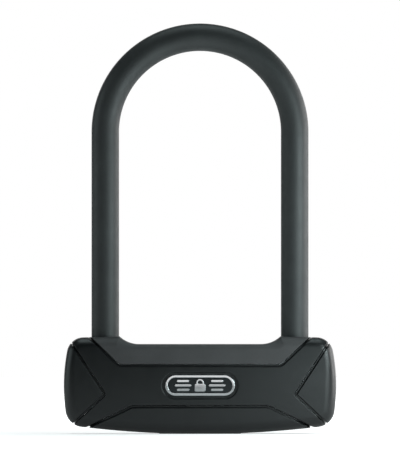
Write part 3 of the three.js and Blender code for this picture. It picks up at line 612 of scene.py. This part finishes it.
def shackle_coat():
    path = shackle_path(sleeve_low[2], leg_steps=16, bend_steps=96)
    inner, bevel = BAR_R + COAT_GAP, 0.3 * COAT_LIP
    lip = [(inner, 0.0), (SLEEVE_R - COAT_LIP, 0.0), (SLEEVE_R - bevel, bevel), (SLEEVE_R, COAT_LIP)]
    rings = shackle_rings(path, SLEEVE_R, COAT_SIDES, lip)
    rings += [round_ring(at, inner, COAT_SIDES) for at in path[1:-1][::-1]]
    return ring_piece("shackle_coat", rings, loop=True)


def notch_cutter():
    """A box through both feet, as wide as the gap between the bottoms of the notches."""
    mesh = bpy.data.meshes.new("notch_cutter")
    wide, deep, tall = (-NOTCH_X, NOTCH_X), (-2 * BAR_R, 2 * BAR_R), (NOTCH_LOW, NOTCH_HIGH)
    corners = [(x, y, z) for x in wide for y in deep for z in tall]
    faces = [(0, 1, 3, 2), (4, 6, 7, 5), (0, 4, 5, 1), (2, 3, 7, 6), (0, 2, 6, 4), (1, 5, 7, 3)]
    mesh.from_pydata((np.array(corners) * MM).tolist(), [], faces)
    cutter = bpy.data.objects.new("notch_cutter", mesh)
    bpy.context.scene.collection.objects.link(cutter)
    return cutter


def shackle_steel():
    path = shackle_path(bar_low[2], leg_steps=4, bend_steps=48)
    tip = [(BAR_R - FOOT_CHAMFER, 0.0), (BAR_R, FOOT_CHAMFER)]
    bar = ring_piece("shackle_steel", shackle_rings(path, BAR_R, STEEL_SIDES, tip))
    cutter = notch_cutter()
    notches = bar.modifiers.new("notches", "BOOLEAN")
    notches.operation, notches.object, notches.solver = "DIFFERENCE", cutter, "EXACT"
    soften = bar.modifiers.new("soften", "BEVEL")
    soften.width, soften.segments, soften.limit_method = NOTCH_BEVEL * MM, 2, "ANGLE"
    soften.angle_limit = math.radians(40)
    bake_modifiers(bar)
    bpy.data.objects.remove(cutter)
    smooth_but_for_edges(bar.data)
    return bar


def leg_seal(name, side):
    """Rubber ring with two round lips towards the coat."""
    low, high = seal_low[2], seal_high[2]
    inner, outer = SLEEVE_R + SEAL_GAP, seal_high[1]
    half_lip = (high - low) / 4
    profile = [(outer, low), (outer, high)]
    for mid in (high - half_lip, low + half_lip):
        profile += [(inner + LIP_DEEP * (1 - math.sin(a)), mid + half_lip * math.cos(a))
                    for a in np.linspace(LIP_FROM, math.pi - LIP_FROM, 7)]
    turns = np.linspace(2 * math.pi, 0, SEAL_SIDES, endpoint=False)
    rings = [[(side * LEG_X + r * math.cos(a), r * math.sin(a), z) for r, z in profile] for a in turns]
    return ring_piece(name, rings, loop=True)


def return_spring():
    """A helix of round wire along x."""
    x0, x1 = spring_low[0] + WIRE_R, spring_high[0] - WIRE_R
    y, z = 0.5 * (spring_low[1] + spring_high[1]), 0.5 * (spring_low[2] + spring_high[2])
    along = np.array([1, 0, 0])
    rings = []
    for t in np.linspace(0, 1, COIL_TURNS * 16 + 1):
        a = 2 * math.pi * COIL_TURNS * t
        out = np.array([0, math.cos(a), math.sin(a)])
        middle = np.array([x0 + (x1 - x0) * t, y, z]) + COIL_R * out
        rings.append([middle + WIRE_R * (math.cos(b) * out - math.sin(b) * along)
                      for b in np.linspace(0, 2 * math.pi, 8, endpoint=False)])
    return ring_piece("return_spring", rings)


# --- materials ------------------------------------------------------------------------------------------
def new_material(name):
    material = bpy.data.materials.new(name)
    material.use_nodes = True
    return material, material.node_tree, material.node_tree.nodes["Principled BSDF"]


def noise(tree, scale, detail=3.0, rough=0.55, stretch=None):
    """Noise in the object's own coordinates. scale is in cycles per metre."""
    source = tree.nodes.new("ShaderNodeTexCoord").outputs["Object"]
    node = tree.nodes.new("ShaderNodeTexNoise")
    node.inputs["Scale"].default_value = scale
    node.inputs["Detail"].default_value = detail
    node.inputs["Roughness"].default_value = rough
    if stretch:
        mapping = tree.nodes.new("ShaderNodeMapping")
        mapping.inputs["Scale"].default_value = stretch
        tree.links.new(source, mapping.inputs["Vector"])
        source = mapping.outputs["Vector"]
    tree.links.new(source, node.inputs["Vector"])
    return node.outputs["Fac"]


def ramp(tree, source, low, high, out_low, out_high):
    node = tree.nodes.new("ShaderNodeMapRange")
    tree.links.new(source, node.inputs["Value"])
    node.inputs["From Min"].default_value = low
    node.inputs["From Max"].default_value = high
    node.inputs["To Min"].default_value = out_low
    node.inputs["To Max"].default_value = out_high
    return node.outputs["Result"]


def fill(tree, socket, value):
    """Sets a socket to a number or a colour, or links another socket to it."""
    if isinstance(value, bpy.types.NodeSocket):
        tree.links.new(value, socket)
    else:
        socket.default_value = (*value, 1) if isinstance(value, tuple) else value


def tint(tree, source, dark, light):
    node = tree.nodes.new("ShaderNodeMix")
    node.data_type = "RGBA"
    tree.links.new(source, node.inputs[0])
    fill(tree, node.inputs[6], dark)
    fill(tree, node.inputs[7], light)
    return node.outputs[2]


def combine(tree, operation, a, b):
    node = tree.nodes.new("ShaderNodeMath")
    node.operation = operation
    fill(tree, node.inputs[0], a)
    fill(tree, node.inputs[1], b)
    return node.outputs[0]


def worn_edges(tree, low, high, amount):
    """Patchy wear along convex edges, from 0 to amount."""
    edge = ramp(tree, tree.nodes.new("ShaderNodeNewGeometry").outputs["Pointiness"], low, high, 0, amount)
    patches = ramp(tree, noise(tree, scale=420.0, detail=4.0, rough=0.65), 0.38, 0.62, 0.15, 1)
    return combine(tree, "MULTIPLY", edge, patches)


def bump(tree, shader, source, distance, strength=1.0):
    node = tree.nodes.new("ShaderNodeBump")
    node.inputs["Distance"].default_value = distance
    node.inputs["Strength"].default_value = strength
    tree.links.new(source, node.inputs["Height"])
    tree.links.new(node.outputs["Normal"], shader.inputs["Normal"])


def plastic(name, dark, light, worn, rough, grain, grain_depth, specular=0.5):
    """Moulded plastic: slight cloudiness in the colour, spark-eroded grain, uneven gloss, rubbed edges.

    grain is in cycles per metre and grain_depth in metres.
    """
    material, tree, shader = new_material(name)
    cloud = ramp(tree, noise(tree, scale=60.0, detail=4.0), 0.3, 0.7, 0, 1)
    fleck = ramp(tree, noise(tree, scale=1400.0, detail=2.0), 0.3, 0.7, 0.7, 1.3)
    base = tint(tree, combine(tree, "MULTIPLY", cloud, fleck), dark, light)
    wear = worn_edges(tree, 0.54, 0.64, 0.4)
    tree.links.new(tint(tree, wear, base, worn), shader.inputs["Base Color"])
    gloss = ramp(tree, noise(tree, scale=260.0, detail=3.0), 0.25, 0.75, rough - 0.04, rough + 0.05)
    polish = combine(tree, "MULTIPLY", wear, 0.1)
    tree.links.new(combine(tree, "SUBTRACT", gloss, polish), shader.inputs["Roughness"])
    shader.inputs["Specular IOR Level"].default_value = specular
    bump(tree, shader, noise(tree, grain, 2.0, 0.6), grain_depth)
    return material


def metal(name, dark, light, rough, scale=400.0, stretch=None, depth=0.00001):
    """Metal with grain in its colour and gloss. stretch draws the grain out, as a brush does."""
    material, tree, shader = new_material(name)
    shader.inputs["Metallic"].default_value = 1.0
    grain = noise(tree, scale, 4.0, 0.6, stretch)
    tree.links.new(tint(tree, grain, dark, light), shader.inputs["Base Color"])
    tree.links.new(ramp(tree, grain, 0.2, 0.8, rough - 0.06, rough + 0.08), shader.inputs["Roughness"])
    bump(tree, shader, grain, depth, 0.4)
    return material


cover_black = plastic("cover_black", (0.0045, 0.0055, 0.006), (0.0065, 0.0075, 0.008),
                      worn=(0.016, 0.018, 0.018), rough=0.36, grain=2600.0, grain_depth=0.00002)
saddle_grey = plastic("saddle_grey", (0.050, 0.0486, 0.050), (0.0617, 0.0603, 0.0619),
                      worn=(0.085, 0.085, 0.086), rough=0.56, grain=1700.0, grain_depth=0.00004,
                      specular=0.4)
coat_grey = plastic("coat_grey", (0.023, 0.0255, 0.026), (0.033, 0.036, 0.0365),
                    worn=(0.05, 0.055, 0.055), rough=0.5, grain=1500.0, grain_depth=0.00005)
rubber_black = plastic("rubber_black", (0.008, 0.008, 0.009), (0.013, 0.013, 0.014),
                       worn=(0.02, 0.02, 0.021), rough=0.7, grain=2400.0, grain_depth=0.00003,
                       specular=0.3)
chrome = metal("chrome", (0.42, 0.43, 0.44), (0.50, 0.51, 0.52),
               rough=0.12, scale=900.0, depth=0.000002)
badge_dark = metal("badge_dark", (0.035, 0.038, 0.040), (0.05, 0.054, 0.057),
                   rough=0.36, scale=1500.0, stretch=(1, 1, 12), depth=0.000004)
steel = metal("steel", (0.50, 0.51, 0.53), (0.66, 0.67, 0.69), rough=0.32, scale=700.0, stretch=(1, 1, 8))
hard_steel = metal("hard_steel", (0.22, 0.23, 0.24), (0.34, 0.35, 0.36), rough=0.36, scale=600.0)
cast_alloy = metal("cast_alloy", (0.36, 0.37, 0.38), (0.5, 0.51, 0.52),
                   rough=0.5, scale=900.0, depth=0.00004)
brass = metal("brass", (0.55, 0.40, 0.16), (0.72, 0.55, 0.26), rough=0.3, scale=700.0, stretch=(1, 1, 6))

LOOKS = {
    "cover_plastic": cover_black, "saddle_plastic": saddle_grey, "shackle_coat": coat_grey,
    "rubber": rubber_black, "chrome": chrome, "badge_metal": badge_dark, "steel": steel,
    "hardened_steel": hard_steel, "cast_alloy": cast_alloy, "brass": brass,
}


replaced = set()


def place(piece, body, slot, *nodes):
    """Gives a piece its look, its moving body, its material slot and the CAD nodes that it stands for."""
    piece.data.materials.clear()
    piece.data.materials.append(LOOKS[slot])
    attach(piece, body)
    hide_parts(*nodes)
    replaced.update(nodes)
    return piece


# --- pieces ---------------------------------------------------------------------------------------------
# Grid pitch of the covers in millimetres, and how far a grid reaches past the CAD node: the tongues
# behind the lips reach further than the CAD covers do.
PITCH, ROOM, SMALL_ROOM = 0.3, 2.5, 0.4

front = field_piece("front_shell", front_field, "front_cover", ROOM, PITCH, 44000)
place(front, "lock_body", "cover_plastic", "front_cover")
rear = field_piece("rear_shell", lambda x, y, z: face_field(x, -y, z), "rear_cover", ROOM, PITCH, 38000)
place(rear, "lock_body", "cover_plastic", "rear_cover")
saddle = field_piece("saddle_shell", saddle_field, "saddle_cover", ROOM, PITCH, 36000)
place(saddle, "lock_body", "saddle_plastic", "saddle_cover")
base = field_piece("base_shell", base_field, "base_cover", ROOM, PITCH, 32000)
place(base, "lock_body", "cover_plastic", "base_cover")
for side, name in ((1, "right"), (-1, "left")):
    cap = field_piece(name + "_cap_shell", lambda x, y, z: cap_field(side * x, y, z),
                      "end_cap_" + name, ROOM, PITCH, 20000)
    place(cap, "lock_body", "cover_plastic", "end_cap_" + name)
    place(leg_seal(name + "_leg_ring", side), "lock_body", "rubber", "leg_seal_" + name)

place(shackle_coat(), "shackle", "shackle_coat", "shackle_sleeve")
place(shackle_steel(), "shackle", "steel", "shackle_bar")

rim = field_piece("badge_rim", ring_field, "badge_ring", SMALL_ROOM, 0.14, 9000)
place(rim, "lock_body", "chrome", "badge_ring")
face = field_piece("badge_face", face_plate_field, "badge_ring", SMALL_ROOM, 0.3, 3000)
place(face, "lock_body", "badge_metal", "badge_plate")
emblem = field_piece("badge_emblem", emblem_field, "badge_ring", SMALL_ROOM, 0.12, 9000)
place(emblem, "lock_body", "chrome", "badge_plate")

window = field_piece("keyhole_surround", keyhole_frame_field, "keyhole_frame", SMALL_ROOM, 0.16, 14000)
place(window, "lock_body", "cover_plastic", "keyhole_frame")
slide = field_piece("keyhole_slide", shutter_field, "keyhole_shutter", SMALL_ROOM, 0.14, 12000)
place(slide, "shutter", "cover_plastic", "keyhole_shutter")
spring = place(return_spring(), "lock_body", "steel", "shutter_spring")
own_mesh(spring)

for entry in frame["record"]["subparts"]:
    if entry["node"] not in replaced:
        node = frame["nodes"][entry["node"]]
        node.data.materials.clear()
        node.data.materials.append(LOOKS[entry["material_slot"]])


# --- stage, lights, camera ------------------------------------------------------------------------------
def seen_or_felt(tree, seen, felt):
    """One strength for what the camera sees of the studio and another for the light that it gives."""
    node = tree.nodes.new("ShaderNodeMix")
    node.inputs[2].default_value = felt
    fill(tree, node.inputs[3], seen)
    tree.links.new(tree.nodes.new("ShaderNodeLightPath").outputs["Is Camera Ray"], node.inputs[0])
    return node.outputs[0]


def distance_from_lock(tree):
    node = tree.nodes.new("ShaderNodeVectorMath")
    node.operation = "LENGTH"
    tree.links.new(tree.nodes.new("ShaderNodeTexCoord").outputs["Object"], node.inputs[0])
    return node.outputs["Value"]


def painted_glow_floor(reach=3.0):
    """A plain floor whose brightness is partly a painted glow: it glows for the camera, less bright near
    the lock as painted shade, where its contact shadow falls, and glows faintly as fill light from below.
    """
    material, tree, shader = new_material("floor_painted_glow")
    shader.inputs["Base Color"].default_value = (0.9, 0.9, 0.9, 1)
    shader.inputs["Roughness"].default_value = 0.8
    shader.inputs["Emission Color"].default_value = (1, 1, 1, 1)
    # Painted light: the floor's own glow, seen by the camera, is dimmer within half a metre of the lock
    # as painted shade and full further off. For other rays it glows at 0.14 as a fill from below.
    painted_glow = ramp(tree, distance_from_lock(tree), 0.1, 0.5, 0.5, 1.0)
    tree.links.new(seen_or_felt(tree, painted_glow, 0.14), shader.inputs["Emission Strength"])
    mesh = bpy.data.meshes.new("floor")
    corners = [(-reach, -reach, 0), (reach, -reach, 0), (reach, reach, 0), (-reach, reach, 0)]
    mesh.from_pydata(corners, [], [(0, 1, 2, 3)])
    mesh.materials.append(material)
    floor = bpy.data.objects.new("floor", mesh)
    bpy.context.scene.collection.objects.link(floor)


def white_world():
    world = bpy.data.worlds.new("studio")
    world.use_nodes = True
    background = world.node_tree.nodes["Background"]
    background.inputs["Color"].default_value = (1, 1, 1, 1)
    world.node_tree.links.new(seen_or_felt(world.node_tree, 1.0, 0.015), background.inputs["Strength"])
    bpy.context.scene.world = world


COOL = (0.84, 0.99, 1.0)


def area_light(name, at, aim, width, height, power, colour=(1, 1, 1)):
    data = bpy.data.lights.new(name, "AREA")
    data.shape = "RECTANGLE"
    data.size, data.size_y = width, height
    data.energy = power
    data.color = colour
    lamp = bpy.data.objects.new(name, data)
    lamp.location = at
    lamp.rotation_euler = (Vector(aim) - Vector(at)).to_track_quat("-Z", "Y").to_euler()
    lamp.visible_camera = False
    bpy.context.scene.collection.objects.link(lamp)
    return lamp


def beside(degrees, away, height):
    """A place at this angle to the right of the camera's direction, seen from above."""
    turn = math.radians(degrees)
    return (away * math.sin(turn), -away * math.cos(turn), height)


# Soft boxes: small near ones on the right, whose light falls off across the crossbar, and large far ones
# for the edges.
low_aim, middle, right_half = (0, 0, 0.06), (0, 0, 0.09), (0.03, 0, 0.025)
area_light("low_front", beside(30, 0.3, 0.04), right_half, 0.2, 0.06, 0.088, COOL)
area_light("close_front", beside(55, 0.24, 0.12), right_half, 0.08, 0.08, 0.253, COOL)
area_light("near_front", beside(35, 0.5, 0.1), low_aim, 0.24, 0.4, 0.63, COOL)
area_light("near_rear", beside(100, 0.7, 0.12), low_aim, 0.3, 0.5, 2.54)
area_light("far_right", (1.5, 1.4, 0.4), middle, 1.4, 1.4, 13.0)
area_light("far_back", (0, 1.8, 0.5), middle, 2.4, 1.2, 10.0)
area_light("far_left", (-2.0, 0, 0.3), middle, 1.6, 1.6, 8.9, COOL)
area_light("overhead", (0, 0.2, 2.0), middle, 1.6, 1.6, 13.5, COOL)

# A soft box for the chrome alone, which would otherwise mirror the empty front of the studio.
chrome_only = bpy.data.collections.new("chrome_only")
chrome_only.objects.link(rim)
chrome_only.objects.link(emblem)
badge_front = area_light("badge_front", (0, -2.4, 0.55), middle, 0.6, 1.1, 3.1)
badge_front.light_linking.receiver_collection = chrome_only

painted_glow_floor()
white_world()

# The camera looks level from far away, so there is hardly any perspective. VIEW_HEIGHT is the height in
# metres that the frame takes in at the lock.
CAMERA_FAR, VIEW_HEIGHT, SENSOR_MM = 8.0, 0.2338, 36
camera_data = bpy.data.cameras.new("camera")
camera_data.sensor_width = SENSOR_MM
camera_data.lens = SENSOR_MM * CAMERA_FAR / VIEW_HEIGHT
camera_data.clip_end = 50
camera = bpy.data.objects.new("camera", camera_data)
camera.location = (0, -CAMERA_FAR, 0.5 * cad_high[2])
camera.rotation_euler = (math.pi / 2, 0, 0)
bpy.context.scene.collection.objects.link(camera)
bpy.context.scene.camera = camera
bpy.context.scene.view_settings.view_transform = "Standard"
